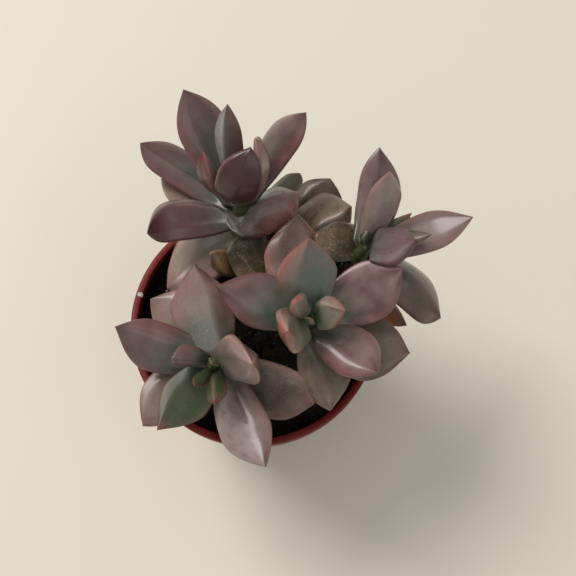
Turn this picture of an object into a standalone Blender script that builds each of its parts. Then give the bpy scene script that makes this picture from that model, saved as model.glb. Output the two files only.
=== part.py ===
"""A potted graptosedum: a plastic nursery pot, its soil, five fleshy stems and their thick pointed leaves.

Metres, +Z up. The origin is the middle of the pot's underside, and -Y is the side nearest to the viewer.
Run it with: blender --background --python part.py
"""

import math
from dataclasses import dataclass

import bmesh
import bpy
from mathutils import Matrix, Vector, noise
from mathutils.bvhtree import BVHTree

MM = 0.001
GAP = 0.3 * MM
PRESS = 0.34 * MM
WELD = 0.01 * MM

# The pot, from its rim, height and wall.
POT_RIM_RADIUS = 45.0 * MM
POT_HEIGHT = 80.0 * MM
POT_FOOT_RADIUS = 31.5 * MM
POT_WALL = 1.2 * MM
LIP_WIDTH = 2.6 * MM
LIP_HEIGHT = 7.0 * MM
FOOT_RING_WIDTH = 5.0 * MM
FLOOR_RAISE = 2.0 * MM
BOSS_RADIUS = 10.0 * MM
DRAIN_RADIUS = 3.6 * MM
DRAIN_CIRCLE_RADIUS = 18.0 * MM
DRAIN_COUNT = 6
DRAIN_SIDES = 16
SOFT_EDGE = 0.9 * MM
LIP_TAPER = 0.4 * MM
FOOT_FLARE = 0.3 * MM
TURNING_STEPS = 40

# The soil fills the pot to this far below the rim.
SOIL_BELOW_RIM = 9.0 * MM
SOIL_LUMP = 1.3 * MM
SOIL_LUMPS_PER_METRE = 220
SOIL_RINGS = 7
SOIL_TOP = POT_HEIGHT - SOIL_BELOW_RIM

# The stems: their size, how deep they are planted, how softly they bend and how they narrow to a dome.
STEM_RADIUS = 2.8 * MM
PLANTED_DEPTH = 12.0 * MM
STEM_POINTS = 12
STEM_ROUNDNESS = 1
STEM_BEND = 0.4
STEM_TIP_SHARE = 0.35
STEM_DOME = 6.0 * MM
SEAT_SPACING = 1.5 * MM
FIRST_SEAT = 1.2 * MM

# One leaf's section and its rings along the length.
LEAF_SIDES = 12
LEAF_RINGS = 10

# How a leaf swells: where it is thickest, how its foot closes, and how its thickness is shared
# between the upper face and the belly. Shares of the leaf's length or thickness.
THICKEST = 0.42
FOOT_THICKNESS = 0.62
THICKNESS_TAPER = 2.2
TIP_SHARPNESS = 1.08
FOOT_CLOSES_OVER = 1 / 12
UPPER_SHARE = 0.26
BELLY_SHARE = 0.74
LEAST_KEEL = 0.10

# How square a leaf's section is, and where across it the folds of its margins start.
SECTION_SQUARENESS = 0.88
UPPER_ROUNDNESS = 0.6
BELLY_ROUNDNESS = 0.8
FOLD_START = 0.40
FOLD_FULL_ALONG = 0.35
FOLD_CURL = 3
CHANNEL_NARROWNESS = 3
CHANNEL_FADE = 0.5
CREST_FULL_ALONG = 0.45
CREST_REACH = 0.9
CREST_ROUNDNESS = 0.5
HOOK_SHARPNESS = 4

# A leaf that rises more steeply than this turns its upper face in towards the crown.
UPRIGHT = 50

# The finishes, each with its colour and its roughness. The leaves are coloured with their age.
POT = "terracotta plastic"
SOIL = "dark soil"
STEM = "green stem"
MAUVE = "mauve leaf"
GREEN = "green leaf"
BRONZE = "bronze leaf"
AMBER = "amber leaf"
FINISHES = (
    (POT, (0.27, 0.05, 0.035), 0.45),
    (SOIL, (0.012, 0.008, 0.006), 0.95),
    (STEM, (0.12, 0.17, 0.06), 0.5),
    (MAUVE, (0.22, 0.13, 0.13), 0.42),
    (GREEN, (0.19, 0.21, 0.13), 0.42),
    (BRONZE, (0.17, 0.10, 0.08), 0.45),
    (AMBER, (0.22, 0.11, 0.04), 0.5),
)


@dataclass(frozen=True)
class Leaf:
    """A leaf's chord runs from its seat on the stem to its tip. Angles in degrees, sizes in millimetres.

    Seen from above with the tip ahead, left is the side that the sway and the crest's place count from.
    The bow is how far the middle sags below the chord, the sway how far it strays to the side, and the
    hook how far the body stands off to the right of a chord that only the tip comes back to. They are
    shares of the length. A leaf that doesn't point straight away from its stem is seated on the side
    named by around, and the reach is how far out it sits, in stem radii. The seat is how far below the
    growing tip a leaf sits that is out of its turn. Depth is the thickness as a share of the width, waist
    is where the leaf is widest and foot how wide its foot is, taper says how late it narrows to its tip
    and blunt how late it thins. Folds, channel and crest are shares of the thickness, crest_at is where
    across the crest stands, crest_soft how round it is, and keel how sharp the belly is.
    """

    name: str
    azimuth: float
    rise: float
    length: float
    width: float
    finish: str = MAUVE
    bow: float = 0.07
    sway: float = 0.0
    hook: float = 0.0
    around: float | None = None
    seat: float | None = None
    reach: float = 0.6
    depth: float = 0.34
    waist: float = 0.60
    foot: float = 0.38
    taper: float = 1.9
    blunt: float = 0.62
    left_fold: float = 0.2
    right_fold: float = 0.2
    channel: float = 0.08
    crest: float = 0.0
    crest_at: float = 0.0
    crest_soft: float = 0.16
    keel: float = 0.5
    roll: float = 0.0


@dataclass(frozen=True)
class Sprout:
    """A stem from the soil to its growing tip, with its leaves listed from the youngest to the oldest."""

    name: str
    root: tuple[float, float]
    tip: tuple[float, float, float]
    lean_azimuth: float
    lean: float
    leaves: tuple[Leaf, ...]


SPROUTS = (
    Sprout("back_left", (-3, 16), (-5, 36, 119), 105, 28, (
        Leaf("heart", 120, 72, 9, 5, GREEN, depth=0.6),
        Leaf("red_tip", 145, 57, 20.8, 9, depth=0.8, foot=0.6),
        Leaf("front", 52, 70, 26.6, 14.5, bow=0.12, sway=-0.05, around=-110, seat=5, depth=0.5,
             waist=0.52, taper=3.6, blunt=0.5, keel=0.2),
        Leaf("folded", 99, 57, 34.8, 9.5, sway=0.07, depth=0.5, foot=0.6, crest=1, crest_at=-0.05),
        Leaf("shy", 71, 61, 26.6, 13, sway=0.06, depth=0.5, taper=4),
        Leaf("right", 50, 30, 37.5, 17, sway=0.18, waist=0.64, taper=2.3, crest=0.35, crest_at=0.1),
        Leaf("tall", 118, 31, 43.5, 19, sway=-0.06, waist=0.62, taper=2.2, right_fold=0.3),
        Leaf("left", 147, 14, 40.4, 14, sway=-0.15, depth=0.45, waist=0.68, taper=3.2, left_fold=0.7,
             channel=0.25),
        Leaf("low_left", -167, 5, 31.2, 15, BRONZE, sway=-0.05, hook=0.4, depth=0.5, waist=0.62, foot=0.5,
             taper=4, crest=0.35, crest_at=-0.6, crest_soft=0.06, roll=-28),
        Leaf("low_right", 29, -6, 27.7, 16, BRONZE, sway=0.03, around=-130, seat=13, reach=2.4, depth=0.5,
             foot=0.72, taper=4, crest=0.6, crest_at=-0.05, crest_soft=0.05, keel=0.2, roll=18),
        Leaf("rear", 49, 4, 28.3, 9, GREEN, sway=0.1, seat=21, taper=8, blunt=0.3),
        Leaf("tucked", 149, 4, 32.5, 12, BRONZE, sway=-0.03, taper=3),
        Leaf("wide", -148, -26, 34.9, 28, sway=-0.15, hook=0.3, foot=0.6, taper=3, left_fold=0.5),
        Leaf("bud", -169, 58, 18.9, 11, AMBER, around=-150, seat=36, depth=0.6, taper=1.5, blunt=0.85,
             crest=0.6),
        Leaf("brown", -58, -20, 26, 18, BRONZE, sway=0.08, around=-100, seat=19, reach=1.6, foot=0.85,
             taper=4, left_fold=0.3, right_fold=0.4),
    )),
    Sprout("right", (20, 8), (40, 18, 113), 30, 26, (
        Leaf("heart", 100, 66, 6, 5, GREEN, depth=0.6),
        Leaf("speckled", -8, 28, 15.9, 16.5, seat=0.4, reach=0.2, depth=0.4, waist=0.45, foot=0.9,
             taper=2, blunt=0.5, left_fold=0.1, right_fold=0.1, channel=0, keel=0.1, roll=4),
        Leaf("small", 8, 19, 21.9, 7, GREEN, sway=0.1, depth=0.5, foot=0.6),
        Leaf("inner", 67, 44, 28.8, 13, sway=-0.13, crest=0.3, crest_at=0.5),
        Leaf("upper", 79, 19, 35.6, 17, sway=-0.15, foot=0.45, taper=2.2, crest=0.2, crest_at=0.5),
        Leaf("pointed", 18, 8, 39.8, 15, sway=0.05, waist=0.64, foot=0.3, right_fold=0.15),
        Leaf("green", 41, 0, 25, 6, GREEN),
        Leaf("lower", -30, -17, 35.1, 20, BRONZE, sway=0.24, waist=0.7, taper=3.2, right_fold=0.3,
             crest=0.5, crest_at=-0.1),
        Leaf("dry", -40, -37, 31.6, 11, AMBER, taper=3),
        Leaf("stub", 108, 8, 14.5, 20, AMBER, around=-150, seat=10, reach=1.2, depth=0.45, foot=1,
             taper=4),
    )),
    Sprout("middle", (13, -3), (20, -9, 118), -60, 8, (
        Leaf("heart", -90, 76, 8, 4, GREEN, depth=0.6),
        Leaf("small", 160, 73, 13, 8, GREEN, depth=0.6, keel=0.2),
        Leaf("inner_right", -4, 48, 13.7, 11, GREEN, sway=0.08, depth=0.5, waist=0.38, foot=0.7,
             taper=1.25, blunt=0.85, crest=0.5, crest_at=0.5, crest_soft=0.06),
        Leaf("inner_left", -128, 60, 20.3, 15, GREEN, depth=0.4, waist=0.55, foot=0.7, taper=2.6,
             blunt=0.5, keel=0.1, roll=-14),
        Leaf("upper", 92, 47, 28.2, 20, waist=0.5, foot=0.45, taper=1.5, crest=0.35, crest_at=0.45),
        Leaf("right", 27, 12, 33.3, 20, sway=-0.03, taper=2.3, left_fold=0.1, right_fold=0.3,
             channel=0.22),
        Leaf("lower", -42, 17, 28.9, 18, sway=0.05, waist=0.55, foot=0.5, taper=2.2, crest=0.2,
             crest_at=-0.6, roll=-8),
        Leaf("left", 162, 13, 31.3, 19, sway=-0.05, waist=0.5, taper=1.7, left_fold=0.3, crest=0.12,
             crest_at=0.3),
        Leaf("behind", 95, 10, 35.7, 21, sway=0.05),
        Leaf("outer", -15, -7, 34.8, 23, sway=-0.06, taper=2.2),
        Leaf("foot", -74, -13, 28.9, 18, sway=0.09, right_fold=0.6, crest=0.3, crest_at=-0.2),
    )),
    Sprout("front_left", (-9, -12), (-13, -24, 110), -110, 26, (
        Leaf("heart", -80, 78, 9, 4, GREEN, depth=0.6),
        Leaf("tiny", -122, 35, 10.1, 4.5, GREEN, depth=0.6),
        Leaf("green_tip", -85, 33, 15.3, 7, GREEN, depth=0.6, foot=0.6, taper=2.6, crest=0.4),
        Leaf("inner_right", -24, 59, 25.4, 18, bow=0.05, depth=0.45, waist=0.5, foot=0.5, taper=2,
             keel=0.75, roll=15),
        Leaf("inner_left", -177, 36, 14.7, 7.5, sway=-0.05, depth=0.65, foot=0.6, taper=3, crest=0.3),
        Leaf("upper", 103, -1, 34.3, 21, hook=-0.12, waist=0.62, foot=0.6, taper=1.6, left_fold=0,
             right_fold=0.55, channel=0),
        Leaf("lower_left", -129, 4, 28.4, 17, GREEN, waist=0.5, foot=0.5, taper=1.6, left_fold=0,
             channel=0.15),
        Leaf("left", 165, 18, 34.5, 17, sway=0.09, foot=0.5, right_fold=0.6),
        Leaf("bottom", -66, 7, 38.2, 18, sway=-0.06, channel=0, crest=0.08, crest_at=0.2),
        Leaf("right", -24, -4, 33.7, 19, sway=-0.08, taper=2.8),
        Leaf("outer", -140, -8, 32.8, 16, sway=-0.12, taper=3),
        Leaf("rear", 138, -10, 34.1, 18, sway=-0.06, taper=3),
    )),
    Sprout("old", (11, 18), (15, 29, 94), 60, 10, (
        Leaf("blunt", 24, 13, 21.8, 20, BRONZE, sway=0.12, depth=0.45, waist=0.5, foot=0.6, taper=3,
             crest=0.15, crest_at=-0.4),
        Leaf("curled", 60, 4, 25, 18, BRONZE, taper=3),
    )),
)


def direction(azimuth, rise):
    """The unit vector at this compass angle and height above level, in degrees."""
    a, r = math.radians(azimuth), math.radians(rise)
    return Vector((math.cos(a) * math.cos(r), math.sin(a) * math.cos(r), math.sin(r)))


def smooth(low, high, value):
    """Rises softly from 0 at low to 1 at high."""
    t = min(1.0, max(0.0, (value - low) / (high - low)))
    return t * t * (3 - 2 * t)


def closed_foot(s):
    """Closes the foot of the leaf over its first twelfth."""
    return math.sqrt(min(1.0, s / FOOT_CLOSES_OVER))


def half_width(leaf, s):
    """Half a leaf's width at s along it: a narrower foot, the waist and a tip that comes to a point."""
    if s < leaf.waist:
        share = leaf.foot + (1 - leaf.foot) * math.sin(math.pi / 2 * s / leaf.waist)
    else:
        share = (1 - ((s - leaf.waist) / (1 - leaf.waist)) ** leaf.taper) ** TIP_SHARPNESS
    return leaf.width / 2 * share * closed_foot(s)


def thickness(leaf, s):
    """A leaf's thickness at s along it."""
    if s < THICKEST:
        share = FOOT_THICKNESS + (1 - FOOT_THICKNESS) * math.sin(math.pi / 2 * s / THICKEST)
    else:
        share = (1 - ((s - THICKEST) / (1 - THICKEST)) ** THICKNESS_TAPER) ** leaf.blunt
    return leaf.width * leaf.depth * share * closed_foot(s)


def crest_share(leaf, s, across):
    """How high the crest of a leaf's upper face stands at a place, from 0 to 1."""
    slope = math.hypot((across - leaf.crest_at) / CREST_REACH, leaf.crest_soft) - leaf.crest_soft
    return max(0.0, 1 - slope) * smooth(0.0, CREST_FULL_ALONG, s)


def upper_face(leaf, s, across, up):
    """The height of a leaf's upper face above its chord, with its channel and its crest."""
    channel = leaf.channel * up ** CHANNEL_NARROWNESS * (1 - s) ** CHANNEL_FADE
    crest = leaf.crest * crest_share(leaf, s, across) * up ** CREST_ROUNDNESS
    return UPPER_SHARE * up ** UPPER_ROUNDNESS - channel + crest


def belly(leaf, s, across, down):
    """The depth of a leaf's belly below its chord, rounder at the foot and keeled towards the tip."""
    keel = LEAST_KEEL + leaf.keel * s
    return BELLY_SHARE * ((1 - keel) * down ** BELLY_ROUNDNESS + keel * (1 - abs(across)))


def leaf_point(leaf, s, turn):
    """A point of the leaf's skin. X runs to the tip and Z up out of the upper face."""
    across = math.copysign(abs(math.cos(turn)) ** SECTION_SQUARENESS, math.cos(turn))
    up = math.sin(turn)
    thick = thickness(leaf, s)
    fold = leaf.left_fold if across > 0 else leaf.right_fold
    drop = thick * fold * smooth(FOLD_START, 1.0, abs(across)) * smooth(0.0, FOLD_FULL_ALONG, s)
    if up >= 0:
        height = thick * upper_face(leaf, s, across, up) - drop
    else:
        height = -thick * belly(leaf, s, across, -up) - drop * abs(across) ** FOLD_CURL
    side = half_width(leaf, s) * across
    cosine, sine = math.cos(math.radians(leaf.roll)), math.sin(math.radians(leaf.roll))
    rolled_side = side * cosine - height * sine
    rolled_height = side * sine + height * cosine
    arch = leaf.length * 4 * s * (1 - s)
    stray = leaf.sway * arch + leaf.hook * leaf.length * (s ** HOOK_SHARPNESS - s)
    return Vector((leaf.length * s, rolled_side + stray, rolled_height - leaf.bow * arch)) * MM


def leaf_mesh(leaf, swell=0.0):
    """A leaf moulded from a sphere whose poles become its foot and its tip, swollen all round if asked."""
    mould = bmesh.new()
    bmesh.ops.create_uvsphere(mould, u_segments=LEAF_SIDES, v_segments=LEAF_RINGS, radius=1)
    for vertex in mould.verts:
        x, y, z = vertex.co
        vertex.co = leaf_point(leaf, (1 + z) / 2, math.atan2(y, x))
    mould.normal_update()
    outwards = [vertex.normal.copy() for vertex in mould.verts]
    for vertex, outward in zip(mould.verts, outwards):
        vertex.co += outward * swell
    mesh = bpy.data.meshes.new(leaf.name)
    mould.to_mesh(mesh)
    mould.free()
    mesh.shade_smooth()
    return mesh


def stem_path(sprout):
    """The stem's middle line, a Bezier curve: up out of the soil, then over towards its lean."""
    root = Vector((*sprout.root, 0)) * MM + Vector((0, 0, SOIL_TOP - PLANTED_DEPTH))
    tip = Vector(sprout.tip) * MM
    axis = direction(sprout.lean_azimuth, 90 - sprout.lean)
    handle = (tip - root).length * STEM_BEND
    first = root + Vector((0, 0, handle))
    second = tip - axis * handle
    for step in range(STEM_POINTS + 1):
        t = step / STEM_POINTS
        start = root * (1 - t) ** 3 + first * 3 * t * (1 - t) ** 2
        yield start + second * 3 * t ** 2 * (1 - t) + tip * t ** 3


def point_on_stem(sprout, below_tip):
    """The stem's middle and direction at this distance down from its growing tip."""
    points = list(stem_path(sprout))[::-1]
    left = below_tip
    for upper, lower in zip(points, points[1:]):
        step = (upper - lower).length
        if left <= step:
            return upper.lerp(lower, left / step), (upper - lower).normalized()
        left -= step
    return points[-1], (points[-2] - points[-1]).normalized()


def stem_radius(below_tip):
    """The stem narrows to a dome over its last few millimetres."""
    return STEM_RADIUS * (STEM_TIP_SHARE + (1 - STEM_TIP_SHARE) * min(1.0, below_tip / STEM_DOME))


def leaf_frame(sprout, leaf, index):
    """The matrix that seats the leaf on its stem, with its upper face towards the growing tip."""
    below_tip = leaf.seat * MM if leaf.seat else FIRST_SEAT + SEAT_SPACING * index
    middle, axis = point_on_stem(sprout, below_tip)
    forward = direction(leaf.azimuth, leaf.rise)
    facing = forward if leaf.around is None else direction(leaf.around, 0)
    outward = (facing - axis * facing.dot(axis)).normalized()
    inward = axis - outward if leaf.rise > UPRIGHT else axis
    seat = middle + outward * stem_radius(below_tip) * leaf.reach
    up = (inward - forward * inward.dot(forward)).normalized()
    basis = Matrix((forward, up.cross(forward), up)).transposed()
    return Matrix.Translation(seat) @ basis.to_4x4()


def material(name, colour, roughness):
    """A Principled BSDF of this colour."""
    made = bpy.data.materials.new(name)
    made.use_nodes = True
    shader = made.node_tree.nodes["Principled BSDF"]
    shader.inputs["Base Color"].default_value = (*colour, 1)
    shader.inputs["Roughness"].default_value = roughness
    return made


def add_object(name, data, collection, finish=None, parent=None):
    """Links a new object to a collection."""
    obj = bpy.data.objects.new(name, data)
    collection.objects.link(obj)
    obj.parent = parent
    if finish:
        data.materials.append(finish)
    return obj


def hide(cutter):
    """Keeps a cutter out of the model."""
    cutter.hide_render = True
    cutter.display_type = "WIRE"


def cut(obj, cutter):
    """Takes the cutter's shape out of the object."""
    hide(cutter)
    boolean = obj.modifiers.new(f"clear {cutter.name}", "BOOLEAN")
    boolean.operation = "DIFFERENCE"
    boolean.solver = "EXACT"
    boolean.object = cutter


def settled_mesh(obj):
    """The object's mesh as its modifiers leave it, with curve caps welded to their sides."""
    bpy.context.view_layer.update()
    graph = bpy.context.evaluated_depsgraph_get()
    mesh = bpy.data.meshes.new_from_object(obj.evaluated_get(graph))
    work = bmesh.new()
    work.from_mesh(mesh)
    bmesh.ops.remove_doubles(work, verts=work.verts, dist=WELD)
    work.to_mesh(mesh)
    work.free()
    return mesh


def turned(name, profile, collection, finish=None):
    """Turns a closed profile of (radius, height) points about Z: outer top, down, then back up inside."""
    mesh = bpy.data.meshes.new(name)
    points = [(radius, 0, height) for radius, height in profile]
    ring = [(i, i + 1) for i in range(len(points) - 1)]
    if profile[-1][0] > 0:
        ring.append((len(points) - 1, 0))
    mesh.from_pydata(points, ring, [])
    obj = add_object(name, mesh, collection, finish)
    screw = obj.modifiers.new("turn", "SCREW")
    screw.steps = screw.render_steps = TURNING_STEPS
    screw.use_merge_vertices = True
    screw.merge_threshold = WELD
    return obj


def pot_inner_radius(z):
    """The inside of the pot's tapered wall at this height."""
    outside_top = POT_RIM_RADIUS - LIP_WIDTH + POT_WALL
    return POT_FOOT_RADIUS + (outside_top - POT_FOOT_RADIUS) * z / POT_HEIGHT - POT_WALL


def pot_profile():
    """The pot's section: lip, tapered wall, ring foot, raised floor and middle boss, then up the inside."""
    lip_bottom = POT_HEIGHT - LIP_HEIGHT
    floor_top = FLOOR_RAISE + POT_WALL
    ring_inner = POT_FOOT_RADIUS - FOOT_RING_WIDTH
    return [
        (POT_RIM_RADIUS - SOFT_EDGE, POT_HEIGHT),
        (POT_RIM_RADIUS, POT_HEIGHT - SOFT_EDGE),
        (POT_RIM_RADIUS - LIP_TAPER, lip_bottom + SOFT_EDGE / 2),
        (POT_RIM_RADIUS - LIP_TAPER - SOFT_EDGE / 2, lip_bottom),
        (pot_inner_radius(lip_bottom) + POT_WALL, lip_bottom),
        (POT_FOOT_RADIUS + FOOT_FLARE, SOFT_EDGE),
        (POT_FOOT_RADIUS - SOFT_EDGE, 0),
        (ring_inner, 0),
        (ring_inner - SOFT_EDGE, FLOOR_RAISE),
        (BOSS_RADIUS + SOFT_EDGE, FLOOR_RAISE),
        (BOSS_RADIUS, 0),
        (0, 0),
        (0, floor_top),
        (pot_inner_radius(floor_top), floor_top),
        (pot_inner_radius(POT_HEIGHT), POT_HEIGHT - SOFT_EDGE),
        (pot_inner_radius(POT_HEIGHT) + SOFT_EDGE / 2, POT_HEIGHT),
    ]


def rim_profile():
    """The section of the pot's upper wall and lip, swollen all round by the gap, to press leaves against."""
    return [
        (POT_RIM_RADIUS + GAP, POT_HEIGHT + GAP),
        (POT_RIM_RADIUS + GAP, SOIL_TOP),
        (pot_inner_radius(SOIL_TOP) - GAP, SOIL_TOP),
        (pot_inner_radius(POT_HEIGHT) - GAP, POT_HEIGHT + GAP),
    ]


def drill(name, radius, bottom, top, places):
    """Upright cylinders at these places, in one mesh, to cut holes with."""
    work = bmesh.new()
    for x, y in places:
        bmesh.ops.create_cone(
            work,
            cap_ends=True,
            segments=DRAIN_SIDES,
            radius1=radius,
            radius2=radius,
            depth=top - bottom,
            matrix=Matrix.Translation((x, y, (top + bottom) / 2)),
        )
    mesh = bpy.data.meshes.new(name)
    work.to_mesh(mesh)
    work.free()
    return mesh


def build_pot(plant, cutters, finish):
    """The pot, with a ring of drain holes through its raised floor."""
    pot = turned("pot", pot_profile(), plant, finish)
    places = []
    for hole in range(DRAIN_COUNT):
        angle = math.tau * hole / DRAIN_COUNT
        places.append((DRAIN_CIRCLE_RADIUS * math.cos(angle), DRAIN_CIRCLE_RADIUS * math.sin(angle)))
    holes = drill("drain_holes", DRAIN_RADIUS, 0, 2 * FLOOR_RAISE + POT_WALL, places)
    cut(pot, add_object("drain_holes", holes, cutters))
    return pot


def is_spoke(edge):
    """Whether an edge of the soil's plug runs out from the middle of its top."""
    lowest = min(vertex.co.z for vertex in edge.verts)
    nearest = min(vertex.co.xy.length for vertex in edge.verts)
    return lowest > SOIL_TOP - GAP and nearest < GAP


def soil_mesh():
    """The soil as a plug of rings that fills the pot, with a lumpy top."""
    bottom = FLOOR_RAISE + POT_WALL + GAP
    wall_bottom = pot_inner_radius(bottom) - GAP
    wall_top = pot_inner_radius(SOIL_TOP) - GAP
    work = bmesh.new()
    bmesh.ops.create_cone(
        work,
        cap_ends=True,
        cap_tris=True,
        segments=TURNING_STEPS,
        radius1=wall_bottom,
        radius2=wall_top,
        depth=SOIL_TOP - bottom,
        matrix=Matrix.Translation((0, 0, (SOIL_TOP + bottom) / 2)),
    )
    spokes = [edge for edge in work.edges if is_spoke(edge)]
    bmesh.ops.subdivide_edges(work, edges=spokes, cuts=SOIL_RINGS, use_grid_fill=True)
    for vertex in work.verts:
        from_middle = vertex.co.xy.length
        if vertex.co.z > SOIL_TOP - GAP and from_middle < wall_top - GAP:
            vertex.co.z += SOIL_LUMP * noise.noise(vertex.co * SOIL_LUMPS_PER_METRE)
    bmesh.ops.recalc_face_normals(work, faces=work.faces)
    mesh = bpy.data.meshes.new("soil")
    work.to_mesh(mesh)
    work.free()
    return mesh


def stem_tube(name, sprout, collection, finish=None, swell=0.0):
    """A stem as a round tube along its path, swollen all round if asked."""
    curve = bpy.data.curves.new(name, "CURVE")
    curve.dimensions = "3D"
    curve.bevel_depth = 1.0
    curve.bevel_resolution = STEM_ROUNDNESS
    curve.use_fill_caps = True
    points = list(stem_path(sprout))
    tip = points[-1]
    radii = [stem_radius((tip - point).length) + swell for point in points]
    points[0] = points[0] - Vector((0, 0, swell))
    points[-1] = points[-1] + (points[-1] - points[-2]).normalized() * swell
    spline = curve.splines.new("POLY")
    spline.points.add(len(points) - 1)
    for node, point, radius in zip(spline.points, points, radii):
        node.co = (*point, 1)
        node.radius = radius
    guide = add_object("guide", curve, collection)
    mesh = settled_mesh(guide)
    bpy.data.objects.remove(guide, do_unlink=True)
    bpy.data.curves.remove(curve)
    mesh.shade_smooth()
    mesh.materials.clear()
    return add_object(name, mesh, collection, finish)


def surface(obj):
    """The object's surface in the plant's own frame, for finding what it meets."""
    mesh = obj.data
    points = [obj.matrix_world @ vertex.co for vertex in mesh.vertices]
    return BVHTree.FromPolygons(points, [tuple(face.vertices) for face in mesh.polygons])


def largest_piece(mesh):
    """Drops what a cut has parted from a leaf, and keeps the piece with the most faces."""
    work = bmesh.new()
    work.from_mesh(mesh)
    left = set(work.verts)
    pieces = []
    while left:
        piece = set()
        edge_of_piece = [left.pop()]
        while edge_of_piece:
            vertex = edge_of_piece.pop()
            piece.add(vertex)
            for edge in vertex.link_edges:
                other = edge.other_vert(vertex)
                if other in left:
                    left.remove(other)
                    edge_of_piece.append(other)
        pieces.append(piece)
    pieces.sort(key=len)
    bmesh.ops.delete(work, geom=[v for piece in pieces[:-1] for v in piece], context="VERTS")
    work.to_mesh(mesh)
    work.free()


def press_leaf(leaf_obj, neighbours):
    """Dents a leaf where it meets a stem or a younger leaf, so that it lies close against them."""
    skin = surface(leaf_obj)
    for swollen, swollen_skin in neighbours:
        if skin.overlap(swollen_skin):
            cut(leaf_obj, swollen)
    if not leaf_obj.modifiers:
        return
    mesh = settled_mesh(leaf_obj)
    leaf_obj.modifiers.clear()
    largest_piece(mesh)
    mesh.shade_smooth()
    leaf_obj.data = mesh


def build_plant(plant, cutters, finishes):
    """Every stem, and every leaf from the youngest out, each dented by the rim and by those before it."""
    rim = turned("rim_clearance", rim_profile(), cutters)
    rim.data = settled_mesh(rim)
    rim.modifiers.clear()
    hide(rim)
    neighbours = [(rim, surface(rim))]
    for sprout in SPROUTS:
        stem_tube(f"{sprout.name}_stem", sprout, plant, finishes[STEM])
        swollen = stem_tube(f"{sprout.name}_socket", sprout, cutters, swell=GAP)
        hide(swollen)
        neighbours.append((swollen, surface(swollen)))
    sockets = [socket for socket, _ in neighbours[1:]]
    for sprout in SPROUTS:
        crown = add_object(f"{sprout.name}_crown", None, plant)
        crown.empty_display_size = STEM_RADIUS
        for index, leaf in enumerate(sprout.leaves):
            name = f"{sprout.name}_leaf_{leaf.name}"
            seated = add_object(name, leaf_mesh(leaf), plant, finishes[leaf.finish], crown)
            seated.matrix_world = leaf_frame(sprout, leaf, index)
            swollen = add_object(f"{name}_swollen", leaf_mesh(leaf, PRESS), cutters)
            swollen.matrix_world = seated.matrix_world
            hide(swollen)
            press_leaf(seated, neighbours)
            neighbours.append((swollen, surface(swollen)))
    return sockets


def main():
    """Clears the scene and builds the potted plant."""
    for obj in list(bpy.data.objects):
        bpy.data.objects.remove(obj, do_unlink=True)
    plant = bpy.data.collections.new("potted_graptosedum")
    cutters = bpy.data.collections.new("cutters")
    for collection in (plant, cutters):
        bpy.context.scene.collection.children.link(collection)
    finishes = {name: material(name, colour, roughness) for name, colour, roughness in FINISHES}
    build_pot(plant, cutters, finishes[POT])
    sockets = build_plant(plant, cutters, finishes)
    soil = add_object("soil", soil_mesh(), plant, finishes[SOIL])
    for socket in sockets:
        cut(soil, socket)
    for leftover in [obj for obj in cutters.objects if obj.name.endswith("_swollen")]:
        bpy.data.objects.remove(leftover, do_unlink=True)
    cutters.hide_render = True


main()
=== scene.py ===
"""A potted graptosedum: five fleshy stems and their waxy leaves, in dark soil and a plastic nursery pot.

Each leaf is moulded on its own, seated on its stem where the frame has it, and coloured along its length:
grey-green at the foot, mauve along the middle, pink on the ridges and red at the tip, under a pale bloom.
Painted shade darkens the feet and undersides, and painted highlights lighten the ridges and one facet of some leaves.
"""

import logging
import math
import random
from collections.abc import Iterator, Sequence
from dataclasses import dataclass
from enum import Enum

import bmesh
import bpy
from mathutils import Matrix, Vector, noise

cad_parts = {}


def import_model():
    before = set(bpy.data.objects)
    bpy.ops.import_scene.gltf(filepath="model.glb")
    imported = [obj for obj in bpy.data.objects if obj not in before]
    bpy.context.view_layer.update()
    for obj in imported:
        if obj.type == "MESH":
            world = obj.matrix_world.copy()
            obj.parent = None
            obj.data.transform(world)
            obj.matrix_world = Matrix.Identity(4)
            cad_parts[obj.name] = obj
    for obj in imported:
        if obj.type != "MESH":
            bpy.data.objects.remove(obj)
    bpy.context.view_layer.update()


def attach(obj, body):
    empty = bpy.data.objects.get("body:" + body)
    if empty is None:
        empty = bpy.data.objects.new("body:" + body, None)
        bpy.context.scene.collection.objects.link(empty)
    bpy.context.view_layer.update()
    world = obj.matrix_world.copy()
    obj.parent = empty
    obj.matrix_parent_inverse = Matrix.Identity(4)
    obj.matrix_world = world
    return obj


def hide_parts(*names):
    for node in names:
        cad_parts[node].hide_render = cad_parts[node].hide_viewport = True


MM = 0.001
BODY = "root"
log = logging.getLogger("potted_graptosedum")

Colour = tuple[float, float, float]


def tone(red: int, green: int, blue: int) -> Colour:
    """A colour as a screen shows it, from 0 to 255, made linear for the shader."""
    return tuple((c / 255) ** 2.2 for c in (red, green, blue))


def smooth(low: float, high: float, value: float) -> float:
    """Rises softly from 0 at low to 1 at high."""
    t = min(1.0, max(0.0, (value - low) / (high - low)))
    return t * t * (3 - 2 * t)


def direction(azimuth: float, rise: float) -> Vector:
    """The unit vector at this compass angle and height above level, in degrees."""
    a, r = math.radians(azimuth), math.radians(rise)
    return Vector((math.cos(a) * math.cos(r), math.sin(a) * math.cos(r), math.sin(r)))


# ---------------------------------------------------------------- materials


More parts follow.
